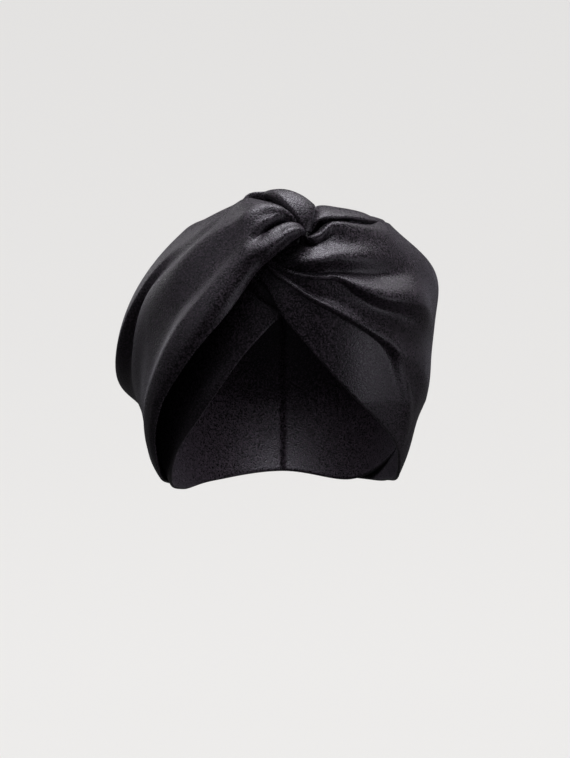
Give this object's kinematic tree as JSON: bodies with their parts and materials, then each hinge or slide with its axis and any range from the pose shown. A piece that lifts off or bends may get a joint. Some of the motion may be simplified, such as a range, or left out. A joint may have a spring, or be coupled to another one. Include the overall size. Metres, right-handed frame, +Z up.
{
  "type": "twist headband",
  "caption": "Wide black stretch-velvet headband with a twisted knot above the forehead, pleats fanning out from it and a plain seam at the back.",
  "frame": {"origin": "middle of the head that the band is worn on, level with its widest line", "axes": "+Z up towards the crown, -Y towards the front, where the knot is, +X towards the viewer's right"},
  "size_m": [0.1859, 0.2101, 0.1671],
  "materials": {
    "velvet": "matte pile with a soft sheen"
  },
  "bodies": {
    "root": {"left_panel": "velvet", "right_panel": "velvet"}
  },
  "joints": []
}
